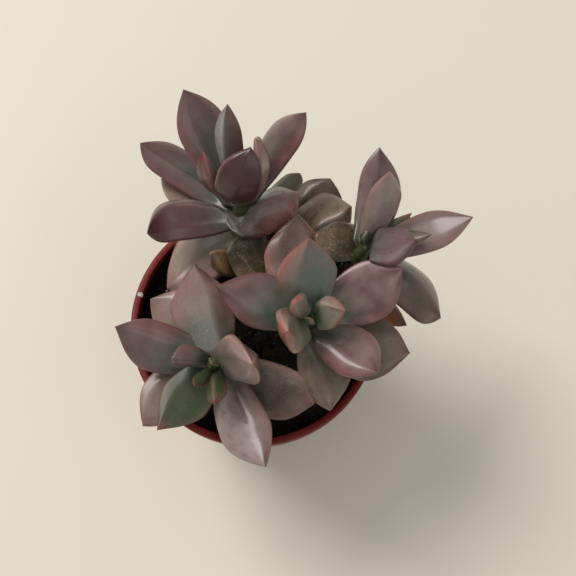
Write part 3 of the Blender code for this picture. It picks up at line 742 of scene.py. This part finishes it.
@dataclass
class Sprout:
    """A stem from the soil to its growing tip, with its leaves listed from the youngest to the oldest."""

    name: str
    seed: int
    root: tuple[float, float]
    tip: tuple[float, float, float]
    lean_azimuth: float
    lean: float
    leaves: tuple[Leaf, ...]
    finishes: dict | None = None
    radius: float = 2.8
    foot_height: float = 59.0
    spacing: float = 1.5
    first_seat: float = 1.2

    def path(self, t: float) -> Vector:
        """A point of the stem's middle line, from 0 in the soil to 1 at the growing tip, in metres."""
        root = Vector((*self.root, self.foot_height)) * MM
        tip = Vector(self.tip) * MM
        axis = direction(self.lean_azimuth, 90 - self.lean)
        rise = (tip - root).length
        first, second = root + Vector((0, 0, rise * 0.4)), tip - axis * rise * 0.4
        u = 1 - t
        return root * u**3 + first * 3 * t * u * u + second * 3 * t * t * u + tip * t**3

    def below_tip(self, distance: float) -> tuple[Vector, Vector]:
        """The stem's middle and direction at this distance down from its growing tip.

        Args:
            distance: the way down the stem, in metres.

        Returns:
            The point and the unit vector towards the tip.
        """
        steps = 48
        upper = self.path(1)
        left = distance
        for step in range(steps - 1, -1, -1):
            lower = self.path(step / steps)
            length = (upper - lower).length
            if left <= length:
                return upper.lerp(lower, left / length), (upper - lower).normalized()
            left -= length
            upper = lower
        return upper, Vector((0, 0, 1))

    def thickness(self, below_tip: float) -> float:
        """The stem's radius, which narrows to a dome over its last few millimetres."""
        return self.radius * MM * (0.35 + 0.65 * min(1.0, below_tip / (6 * MM)))

    def leaf_frame(self, leaf: Leaf, index: int) -> Matrix:
        """The matrix that seats a leaf on the stem, with its upper face towards the growing tip."""
        below = (leaf.seat if leaf.seat else self.first_seat + self.spacing * index) * MM
        middle, axis = self.below_tip(below)
        forward = direction(leaf.azimuth, leaf.rise)
        facing = forward if leaf.around is None else direction(leaf.around, 0)
        outward = (facing - axis * facing.dot(axis)).normalized()
        inward = axis - outward if leaf.rise > 50 else axis
        up = (inward - forward * inward.dot(forward)).normalized()
        basis = Matrix((forward, up.cross(forward), up)).transposed()
        return Matrix.Translation(middle + outward * self.thickness(below) * leaf.reach) @ basis.to_4x4()

    def build_stem(self, finish: bpy.types.Material) -> bpy.types.Object:
        """Moulds the stem, with a low ring where each old leaf sat."""
        total = sum((self.path((i + 1) / 40) - self.path(i / 40)).length for i in range(40))
        mould = Mould(20, 90)
        spots = mould.spots

        def shape(s: float, turn: float) -> Vector:
            middle = self.path(s)
            axis = (self.path(min(1, s + 0.01)) - self.path(max(0, s - 0.01))).normalized()
            side = axis.cross(Vector((0, 1, 0))).normalized()
            front = axis.cross(side)
            rounded = min(1.0, math.sin(math.pi * min(0.5, s * 6))) * min(1.0, max(0.0, 1 - s) * 25) ** 0.5
            scar = 1 + 0.05 * math.sin(s * total / MM * 1.9 + 1.5 * turn)
            radius = self.thickness((1 - s) * total) * rounded * scar
            return middle + (side * math.cos(turn) + front * math.sin(turn)) * radius

        mould.press(shape)
        mould.roughen(0.25 * MM, 300, self.seed)
        mesh = mould.mesh(f"{self.name}_stem")
        write_attribute(mesh, "along", "FLOAT", [s for s, _ in spots])
        lay = [(s * total / MM, math.cos(turn) * 3, math.sin(turn) * 3 + self.seed * 9) for s, turn in spots]
        write_attribute(mesh, "lay", "FLOAT_VECTOR", lay)
        return add_piece(f"{self.name}_stem_skin", mesh, finish, "green_stem", f"{self.name}_stem")

    def build(self, finishes: dict, stem_finish: bpy.types.Material) -> None:
        """Builds the stem and all its leaves."""
        self.finishes = finishes
        self.build_stem(stem_finish)
        for index, leaf in enumerate(self.leaves):
            leaf.build(self, index)


def sprouts() -> Iterator[Sprout]:
    """The plant's stems with their leaves, from the back to the front."""
    green, bronze, amber = "green_leaf", "bronze_leaf", "amber_leaf"
    yield Sprout("back_left", 1, (-3, 16), (-5, 36, 119), 105, 28, (
        Leaf("heart", 120, 72, 9, 5, Skin.HEART, green, depth=0.6),
        Leaf("red_tip", 145, 57, 20.8, 9, Skin.CRIMSON, depth=0.8, foot=0.6),
        Leaf("front", 52, 70, 26.6, 14.5, Skin.WINE, bow=0.12, around=-110, waist=0.52, taper=3.6,
             depth=0.5, blunt=0.5, sway=-0.05, seat=5, left_blush=0.1, right_blush=0.1, keel=0.2),
        Leaf("folded", 99, 57, 34.8, 9.5, Skin.DUSK, sway=0.07, crest=1.0, crest_at=-0.05, depth=0.5,
             foot=0.6, right_blush=1.05, left_blush=0.15, frost_and_highlight=0.8),
        Leaf("shy", 71, 61, 26.6, 13, Skin.PEARL, taper=4, depth=0.5, sway=0.06),
        Leaf("right", 50, 30, 37.5, 17, sway=0.18, taper=2.3, crest=0.35, crest_at=0.1, waist=0.64,
             right_blush=0.5),
        Leaf("tall", 118, 31, 43.5, 19, sway=-0.06, taper=2.2, waist=0.62, right_fold=0.3),
        Leaf("left", 147, 14, 40.4, 14, sway=-0.15, left_fold=0.7, channel=0.25, depth=0.45, waist=0.68,
             taper=3.2),
        Leaf("low_left", -167, 5, 31.2, 15, Skin.WINE, bronze, sway=-0.05, depth=0.5, taper=4, foot=0.5,
             waist=0.62, hook=0.4, roll=-28, crest=0.35, crest_at=-0.6, left_blush=0.2, right_blush=0.5,
             frost_and_highlight=-0.7, crest_soft=0.06),
        Leaf("low_right", 29, -6, 27.7, 16, Skin.BRONZE, bronze, around=-130, reach=2.4, depth=0.5,
             foot=0.72, taper=4, crest=0.6, crest_at=-0.05, sway=0.03, hook=0.0, seat=13, left_blush=0.3,
             right_blush=1.0, crest_soft=0.05, frost_and_highlight=0.8, roll=18, keel=0.2),
        Leaf("rear", 49, 4, 28.3, 9, Skin.FERN, green, seat=21, taper=8, sway=0.1, blunt=0.3),
        Leaf("tucked", 149, 4, 32.5, 12, Skin.PALE, bronze, taper=3, sway=-0.03),
        Leaf("wide", -148, -26, 34.9, 28, Skin.PALE, sway=-0.15, left_fold=0.5, foot=0.6, taper=3,
             hook=0.3),
        Leaf("bud", -169, 58, 18.9, 11, Skin.AMBER, amber, seat=36, depth=0.6, crest=0.6, around=-150,
             taper=1.5, blunt=0.85),
        Leaf("brown", -58, -20, 26, 18, Skin.UMBER, bronze, seat=19, around=-100, reach=1.6, foot=0.85,
             left_fold=0.3, right_fold=0.4, sway=0.08, taper=4, left_blush=0.1, right_blush=0.7, frost_and_highlight=0.0),
    ))
    yield Sprout("right", 2, (20, 8), (40, 18, 113), 30, 26, (
        Leaf("heart", 100, 66, 6, 5, Skin.HEART, green, depth=0.6),
        Leaf("speckled", -8, 28, 15.9, 16.5, Skin.LILAC, reach=0.2, foot=0.9, waist=0.45, taper=2.0,
             depth=0.4, blunt=0.5, seat=0.4, roll=4, keel=0.1, left_blush=0.1, right_blush=0.1,
             left_fold=0.1, right_fold=0.1, channel=0),
        Leaf("small", 8, 19, 21.9, 7, Skin.OLIVE, green, sway=0.10, depth=0.5, foot=0.6, left_blush=0.2,
             right_blush=0.2),
        Leaf("inner", 67, 44, 28.8, 13, Skin.PEARL, sway=-0.13, crest=0.3, crest_at=0.5, frost_and_highlight=-0.5),
        Leaf("upper", 79, 19, 35.6, 17, sway=-0.15, taper=2.2, crest=0.2, crest_at=0.5, foot=0.45,
             frost_and_highlight=0.3),
        Leaf("pointed", 18, 8, 39.8, 15, Skin.ASH, sway=0.05, waist=0.64, foot=0.3, right_fold=0.15,
             right_blush=0.6),
        Leaf("green", 41, 0, 25, 6, Skin.MOSS, green),
        Leaf("lower", -30, -17, 35.1, 20, Skin.OLIVE, bronze, sway=0.24, taper=3.2, right_fold=0.3,
             crest=0.5, crest_at=-0.1, waist=0.7, frost_and_highlight=0.5),
        Leaf("dry", -40, -37, 31.6, 11, Skin.RUST, amber, taper=3),
        Leaf("stub", 108, 8, 14.5, 20, Skin.UMBER, amber, seat=10, depth=0.45, taper=4, foot=1.0,
             around=-150, reach=1.2),
    ))
    yield Sprout("middle", 3, (13, -3), (20, -9, 118), -60, 8, (
        Leaf("heart", -90, 76, 8, 4, Skin.HEART, green, depth=0.6),
        Leaf("small", 160, 73, 13, 8, Skin.YOUNG, green, depth=0.6, left_blush=0.3, right_blush=0.3,
             keel=0.2),
        Leaf("inner_right", -4, 48, 13.7, 11, Skin.YOUNG, green, waist=0.38, foot=0.7, taper=1.25,
             depth=0.5, crest=0.5, crest_at=0.5, left_blush=0.5, right_blush=0.15, keel=0.5, sway=0.08,
             crest_soft=0.06, blunt=0.85),
        Leaf("inner_left", -128, 60, 20.3, 15, Skin.YOUNG, green, depth=0.4, taper=2.6, foot=0.7,
             waist=0.55, left_blush=0.2, right_blush=0.8, keel=0.1, blunt=0.5, roll=-14),
        Leaf("upper", 92, 47, 28.2, 20, Skin.SAGE, waist=0.5, taper=1.5, foot=0.45, crest=0.35,
             crest_at=0.45, left_blush=0.5, right_blush=0.05),
        Leaf("right", 27, 12, 33.3, 20, Skin.ROSE, sway=-0.03, taper=2.3, left_fold=0.1, right_fold=0.3,
             channel=0.22),
        Leaf("lower", -42, 17, 28.9, 18, Skin.ROSE, sway=0.05, taper=2.2, waist=0.55, foot=0.5,
             left_blush=0.3, right_blush=0.5, crest=0.2, crest_at=-0.6, crest_soft=0.16, roll=-8),
        Leaf("left", 162, 13, 31.3, 19, waist=0.5, taper=1.7, left_fold=0.3, crest=0.12, crest_at=0.3,
             sway=-0.05),
        Leaf("behind", 95, 10, 35.7, 21, Skin.BRONZE, sway=0.05),
        Leaf("outer", -15, -7, 34.8, 23, Skin.OLIVE, sway=-0.06, taper=2.2),
        Leaf("foot", -74, -13, 28.9, 18, Skin.OLIVE, sway=0.09, right_fold=0.6, crest=0.3, crest_at=-0.2),
    ))
    yield Sprout("front_left", 4, (-9, -12), (-13, -24, 110), -110, 26, (
        Leaf("heart", -80, 78, 9, 4, Skin.HEART, green, depth=0.6),
        Leaf("tiny", -122, 35, 10.1, 4.5, Skin.MOSS, green, depth=0.6, left_blush=0.2, right_blush=0.2),
        Leaf("green_tip", -85, 33, 15.3, 7, Skin.MOSS, green, depth=0.6, taper=2.6, foot=0.6, crest=0.4,
             left_blush=0.2, right_blush=0.2),
        Leaf("inner_right", -24, 59, 25.4, 18, Skin.PEARL, bow=0.05, waist=0.5, taper=2.0, foot=0.5,
             roll=15, keel=0.75, depth=0.45),
        Leaf("inner_left", -177, 36, 14.7, 7.5, Skin.MAUVE, depth=0.65, taper=3, foot=0.6, sway=-0.05,
             crest=0.3, left_blush=0.1, right_blush=0.1),
        Leaf("upper", 103, -1, 34.3, 21, Skin.HEATHER, foot=0.6, waist=0.62, taper=1.6, left_fold=0,
             right_fold=0.55, right_blush=0.6, hook=-0.12, left_blush=0.1, channel=0.0),
        Leaf("lower_left", -129, 4, 28.4, 17, Skin.MOSS, green, waist=0.5, taper=1.6, foot=0.5,
             left_blush=0.18, right_blush=0.3, left_fold=0, channel=0.15),
        Leaf("left", 165, 18, 34.5, 17, Skin.MAUVE, sway=0.09, right_fold=0.6, foot=0.5, left_blush=0.2,
             right_blush=0.55),
        Leaf("bottom", -66, 7, 38.2, 18, Skin.ASH, sway=-0.06, crest=0.08, crest_at=0.2, channel=0,
             frost_and_highlight=-0.6, crest_soft=0.16),
        Leaf("right", -24, -4, 33.7, 19, Skin.DUN, sway=-0.08, taper=2.8),
        Leaf("outer", -140, -8, 32.8, 16, Skin.PALE, sway=-0.12, taper=3),
        Leaf("rear", 138, -10, 34.1, 18, Skin.PALE, sway=-0.06, taper=3),
    ))
    yield Sprout("old", 5, (11, 18), (15, 29, 94), 60, 10, (
        Leaf("blunt", 24, 13, 21.8, 20, Skin.UMBER, bronze, sway=0.12, waist=0.5, foot=0.6, taper=3,
             depth=0.45, crest=0.15, crest_at=-0.4, frost_and_highlight=0.9),
        Leaf("curled", 60, 4, 25, 18, Skin.UMBER, bronze, taper=3),
    ))


# ---------------------------------------------------------------- the pot and its soil


@dataclass
class NurseryPot:
    """The tapered plastic pot with its rolled lip, ring foot and drain holes. Sizes in millimetres."""

    rim_radius: float = 45.0
    height: float = 80.0
    foot_radius: float = 31.5
    wall: float = 1.2
    lip_width: float = 2.6
    lip_height: float = 7.0
    foot_ring: float = 5.0
    floor_raise: float = 2.0
    boss: float = 10.0
    drain_radius: float = 3.6
    drain_circle: float = 18.0
    drains: int = 6
    steps: int = 180

    def inner_radius(self, z: float) -> float:
        """The inside of the tapered wall at this height."""
        outside_top = self.rim_radius - self.lip_width + self.wall
        return self.foot_radius + (outside_top - self.foot_radius) * z / self.height - self.wall

    def section(self) -> list[tuple[float, float]]:
        """The pot's section as (radius, height) points, from the rim down the outside and up the inside."""
        bottom = self.height - self.lip_height
        floor = self.floor_raise + self.wall
        ring = self.foot_radius - self.foot_ring
        lip = [
            (self.rim_radius - 0.9 + 0.9 * math.sin(a), self.height - 0.9 + 0.9 * math.cos(a))
            for a in (math.radians(15 * i) for i in range(7))
        ]
        skirt = [
            (self.rim_radius - 0.1, self.height - 2.6),
            (self.rim_radius - 0.35, bottom + 0.5),
            (self.rim_radius - 0.6, bottom + 0.1),
            (self.rim_radius - 1.0, bottom),
            (self.inner_radius(bottom) + self.wall + 0.2, bottom + 0.05),
        ]
        wall = [
            (self.inner_radius(z) + self.wall, z)
            for z in (bottom - 0.4, bottom - 12, bottom - 12.8, bottom - 13.6, 40, 24, 12)
        ]
        wall[2] = (wall[2][0] + 0.25, wall[2][1])
        foot = [
            (self.foot_radius + 0.35, 1.6), (self.foot_radius + 0.1, 0.7), (self.foot_radius - 0.4, 0.15),
            (self.foot_radius - 0.9, 0), (ring, 0), (ring - 0.5, 0.3), (ring - 0.9, self.floor_raise),
            (self.boss + 0.9, self.floor_raise), (self.boss + 0.2, 0.3), (self.boss, 0), (0, 0),
        ]
        inside = [(0, floor), (self.inner_radius(floor) - 1, floor), (self.inner_radius(floor + 1), floor + 1)]
        inside += [(self.inner_radius(z), z) for z in (20, 40, 60, 72, 77)]
        inside += [(self.inner_radius(self.height) - 0.02, self.height - 0.8)]
        inside += [(self.inner_radius(self.height) + 0.15, self.height - 0.2)]
        inside += [(self.inner_radius(self.height) + 0.5, self.height)]
        return lip + skirt + wall + foot + inside

    def drill_drains(self, pot: bpy.types.Mesh) -> bpy.types.Mesh:
        """Cuts the ring of drain holes through the raised floor.

        Args:
            pot: the turned pot.

        Returns:
            The pot's mesh with its holes.
        """
        drill = bmesh.new()
        for hole in range(self.drains):
            angle = math.tau * hole / self.drains
            spot = Vector((math.cos(angle), math.sin(angle), 0)) * self.drain_circle * MM
            bmesh.ops.create_cone(
                drill, cap_ends=True, segments=32, radius1=self.drain_radius * MM, radius2=self.drain_radius * MM,
                depth=8 * MM, matrix=Matrix.Translation(spot + Vector((0, 0, 3.2 * MM))),
            )
        cutter_mesh = bpy.data.meshes.new("drill")
        drill.to_mesh(cutter_mesh)
        drill.free()
        cutter = bpy.data.objects.new("drill", cutter_mesh)
        blank = bpy.data.objects.new("blank", pot)
        for obj in (cutter, blank):
            bpy.context.scene.collection.objects.link(obj)
        cut = blank.modifiers.new("drains", "BOOLEAN")
        cut.operation = "DIFFERENCE"
        cut.solver = "EXACT"
        cut.object = cutter
        bpy.context.view_layer.update()
        drilled = bpy.data.meshes.new_from_object(blank.evaluated_get(bpy.context.evaluated_depsgraph_get()))
        for obj in (cutter, blank):
            bpy.data.objects.remove(obj, do_unlink=True)
        return drilled

    def build(self, finish: bpy.types.Material) -> bpy.types.Object:
        """Turns the pot's section round, closes it, roughens its rim a little and drills it."""
        work = bmesh.new()
        ring = [work.verts.new((r * MM, 0, z * MM)) for r, z in self.section()]
        edges = [work.edges.new((a, b)) for a, b in zip(ring, ring[1:] + ring[:1]) if (a.co - b.co).length > 0]
        bmesh.ops.spin(
            work, geom=ring + edges, cent=(0, 0, 0), axis=(0, 0, 1), angle=math.tau, steps=self.steps, use_merge=True
        )
        bmesh.ops.remove_doubles(work, verts=work.verts, dist=0.01 * MM)
        bmesh.ops.recalc_face_normals(work, faces=work.faces)
        for vertex in work.verts:
            if vertex.co.z > (self.height - 1) * MM:
                wave = noise.noise(vertex.co * 90) * 0.22 + noise.noise(vertex.co * 420) * 0.10
                vertex.co.z += wave * MM - 0.1 * MM
        mesh = bpy.data.meshes.new("pot_shell")
        work.to_mesh(mesh)
        work.free()
        mesh = self.drill_drains(mesh)
        mesh.set_sharp_from_angle(angle=math.radians(40))
        # The inside wall under the rim is marked for darkening: soil stain and painted shade.
        soil_stain_and_shade_values = []
        for vertex in mesh.vertices:
            radius, z = vertex.co.xy.length / MM, vertex.co.z / MM
            inside = z > self.floor_raise + 0.5 and radius < self.inner_radius(z) + 0.35
            soil_stain_and_shade_values.append(smooth(78.6, 75.5, z) if inside else 0.0)
        write_attribute(mesh, "soil_stain_and_shade", "FLOAT", soil_stain_and_shade_values)
        return add_piece("pot_shell", mesh, finish, "terracotta_plastic", "pot")


@dataclass
class Soil:
    """The plug of soil in the pot, with the crumbs and grains that lie on it. Sizes in millimetres."""

    pot: NurseryPot
    below_rim: float = 9.0
    lump: float = 1.3
    crumbs: int = 520
    seed: int = 11

    @property
    def top(self) -> float:
        """The level of the soil."""
        return self.pot.height - self.below_rim

    def level(self, x: float, y: float) -> float:
        """The height of the soil's surface at a place, in metres."""
        spot = Vector((x, y, 0.07))
        height = noise.noise(spot * 220) * self.lump + noise.noise(spot * 620) * 0.55 + noise.noise(spot * 1500) * 0.3
        edge = smooth(1.0, 0.86, spot.xy.length / (self.pot.inner_radius(self.top) * MM))
        return (self.top + height * edge) * MM

    def build_plug(self, finish: bpy.types.Material) -> bpy.types.Object:
        """Moulds the plug, with its lumpy top."""
        bottom = self.pot.floor_raise + self.pot.wall + 0.3
        low, high = self.pot.inner_radius(bottom) - 0.3, self.pot.inner_radius(self.top) - 0.15

        def shape(s: float, turn: float) -> Vector:
            if s < 0.08:
                radius, z = low * s / 0.08, bottom
            elif s < 0.2:
                share = (s - 0.08) / 0.12
                radius, z = low + (high - low) * share, bottom + (self.top - bottom) * share
            else:
                radius, z = high * (1 - (s - 0.2) / 0.8), self.top
            x, y = radius * MM * math.cos(turn), radius * MM * math.sin(turn)
            return Vector((x, y, self.level(x, y) if s >= 0.2 else z * MM))

        mould = Mould(200, 150)
        mould.spots = [(math.acos(max(-1, min(1, 1 - 2 * s))) / math.pi, turn) for s, turn in mould.spots]
        mould.press(shape)
        return add_piece("soil_plug", mould.mesh("soil_plug"), finish, "dark_soil", "soil")

    def scatter(self, name: str, count: int, sizes: tuple[float, float], finish: bpy.types.Material, seed: int,
                spots: Sequence[tuple[float, float, float]] = ()) -> bpy.types.Object:
        """Strews small broken grains over the soil.

        Args:
            name: the piece's name.
            count: how many grains.
            sizes: the smallest and largest radius, in millimetres.
            finish: their material.
            seed: starts the random draw.
            spots: places (x, y, z) in millimetres of grains that lie in a known place.

        Returns:
            The grains as one piece.
        """
        draw = random.Random(seed)
        work = bmesh.new()
        reach = (self.pot.inner_radius(self.top) - 1.5) * MM
        places = [(Vector(spot) * MM, draw.uniform(*sizes) * MM) for spot in spots]
        while len(places) < count + len(spots):
            x, y = draw.uniform(-reach, reach), draw.uniform(-reach, reach)
            radius = draw.uniform(*sizes) ** 1.0 * MM * draw.choice((0.5, 0.7, 1.0))
            if math.hypot(x, y) + radius < reach:
                places.append((Vector((x, y, self.level(x, y) + radius * 0.35)), radius))
        for place, radius in places:
            turn = Matrix.Rotation(draw.uniform(0, math.tau), 4, "Z") @ Matrix.Rotation(draw.uniform(0, 3), 4, "X")
            squash = Matrix.Diagonal((1, draw.uniform(0.5, 1), draw.uniform(0.45, 0.9), 1))
            made = bmesh.ops.create_icosphere(
                work, subdivisions=1, radius=radius, matrix=Matrix.Translation(place) @ turn @ squash
            )
            for vertex in made["verts"]:
                vertex.co += (vertex.co - place) * draw.uniform(-0.28, 0.18)
        mesh = bpy.data.meshes.new(name)
        work.to_mesh(mesh)
        work.free()
        return add_piece(name, mesh, finish, "dark_soil")

    def build(self, finish: bpy.types.Material) -> None:
        """Builds the plug, its crumbs, its perlite and its green grit."""
        self.build_plug(finish)
        self.scatter("soil_crumbs", self.crumbs, (0.4, 1.6), finish, self.seed)
        perlite = Mineral("perlite", tone(226, 224, 216), tone(150, 146, 136)).material()
        rim = self.pot.inner_radius(self.pot.height) + 0.9
        angle = math.radians(166.4)
        stuck = [
            (rim * math.cos(angle), rim * math.sin(angle), self.pot.height - 0.4),
            (rim * math.cos(angle + 0.04), rim * math.sin(angle + 0.04), self.pot.height - 1.6),
        ]
        self.scatter("perlite_grains", 16, (0.5, 1.0), perlite, self.seed + 1)
        self.scatter("perlite_lumps", 0, (1.5, 1.7), perlite, self.seed + 5, stuck)
        grit = Mineral("green_grit", tone(86, 104, 66), tone(48, 60, 40)).material()
        self.scatter("green_grit", 40, (0.3, 0.7), grit, self.seed + 2)


# ---------------------------------------------------------------- the studio


@dataclass
class Studio:
    """A pale floor, soft light from the upper left and the camera that looks down on the plant."""

    eye: tuple[float, float, float] = (12.2, -89.4, 394.6)
    look_down: float = 72.0
    lens: float = 56.25

    def lay_floor(self) -> None:
        """Lays the floor."""
        work = bmesh.new()
        bmesh.ops.create_grid(work, x_segments=8, y_segments=8, size=2)
        mesh = bpy.data.meshes.new("floor")
        work.to_mesh(mesh)
        work.free()
        paint = Paint("pale_floor")
        clouds = paint.noise(paint.place(), 3, 2)
        mesh.materials.append(
            paint.finish(Base_Color=paint.mix(clouds, tone(230, 223, 206), tone(234, 227, 211)), Roughness=0.6)
        )
        floor = bpy.data.objects.new("floor", mesh)
        bpy.context.scene.collection.objects.link(floor)

    def hang_light(self, name: str, place: Sequence[float], power: float, size: float, colour: Colour) -> None:
        """Hangs a square soft light that shines at the plant.

        Args:
            name: the light's name.
            place: where it hangs, in metres.
            power: its power in watts.
            size: its side, in metres.
            colour: its colour.
        """
        light = bpy.data.lights.new(name, "AREA")
        light.energy = power
        light.size = size
        light.color = colour
        lamp = bpy.data.objects.new(name, light)
        lamp.location = place
        lamp.rotation_euler = (Vector((0, 0, 0.08)) - Vector(place)).to_track_quat("-Z", "Y").to_euler()
        bpy.context.scene.collection.objects.link(lamp)

    def set_camera(self) -> None:
        """Sets the camera at the photograph's place."""
        data = bpy.data.cameras.new("camera")
        data.lens = self.lens
        data.sensor_width = 36
        data.clip_start = 0.01
        camera = bpy.data.objects.new("camera", data)
        camera.location = Vector(self.eye) * MM
        camera.rotation_euler = (math.radians(90 - self.look_down), 0, 0)
        bpy.context.scene.collection.objects.link(camera)
        bpy.context.scene.camera = camera

    def build(self) -> None:
        """Builds the whole studio."""
        scene = bpy.context.scene
        scene.view_settings.view_transform = "Standard"
        scene.world = scene.world or bpy.data.worlds.new("world")
        scene.world.use_nodes = True
        sky = scene.world.node_tree.nodes["Background"]
        sky.inputs["Color"].default_value = (0.96, 0.97, 0.97, 1)
        sky.inputs["Strength"].default_value = 0.41
        self.lay_floor()
        self.hang_light("window", (-0.95, 0.80, 1.70), 27.0, 0.9, (1.0, 0.97, 0.94))
        self.hang_light("fill", (0.8, -0.6, 1.3), 2.6, 1.0, (1.0, 0.99, 0.96))
        self.set_camera()


def main() -> None:
    """Loads the frame, builds the pot, the soil and the plant around it, and sets up the studio."""
    logging.basicConfig(level=logging.INFO, format="%(message)s")
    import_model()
    pot = NurseryPot()
    pot.build(PotPlastic().material())
    Soil(pot).build(SoilMix().material())
    finishes = {skin: skin.value.material() for skin in Skin}
    stem_finish = StemSkin().material()
    for sprout in sprouts():
        sprout.build(finishes, stem_finish)
    Studio().build()


if __name__ == "__main__":
    main()
